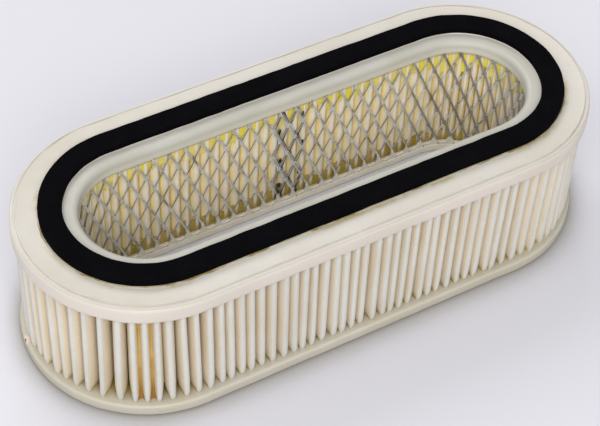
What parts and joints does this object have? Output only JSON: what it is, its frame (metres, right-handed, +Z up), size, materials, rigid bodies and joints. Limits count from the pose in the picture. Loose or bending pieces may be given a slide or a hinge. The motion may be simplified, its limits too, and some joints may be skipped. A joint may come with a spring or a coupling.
{
  "type": "oval air filter element",
  "caption": "Oval pleated-paper air filter element with soft moulded end caps, an expanded-metal inner screen and a flat foam seal.",
  "frame": {"origin": "middle of the element's underside, on the face it stands on", "axes": "+X along the long side, +Y across it, +Z up through the air mouth to the seal"},
  "size_m": [0.22, 0.0914, 0.059],
  "materials": {
    "cap_plastisol": "satin",
    "filter_paper": "matte",
    "galvanised_screen": "satin",
    "seal_foam": "matte",
    "contact_adhesive": "satin",
    "fold_adhesive": "gloss",
    "seam_adhesive": "satin"
  },
  "bodies": {
    "root": {"top_end_cap": "cap_plastisol", "bottom_end_cap": "cap_plastisol", "pleated_paper": "filter_paper", "screen_front": "galvanised_screen", "screen_back": "galvanised_screen", "screen_left_end": "galvanised_screen", "screen_right_end": "galvanised_screen", "seal_ring": "seal_foam", "seal_adhesive": "contact_adhesive", "upper_fold_beads": "fold_adhesive", "lower_fold_beads": "fold_adhesive", "paper_seam": "seam_adhesive"}
  },
  "joints": []
}
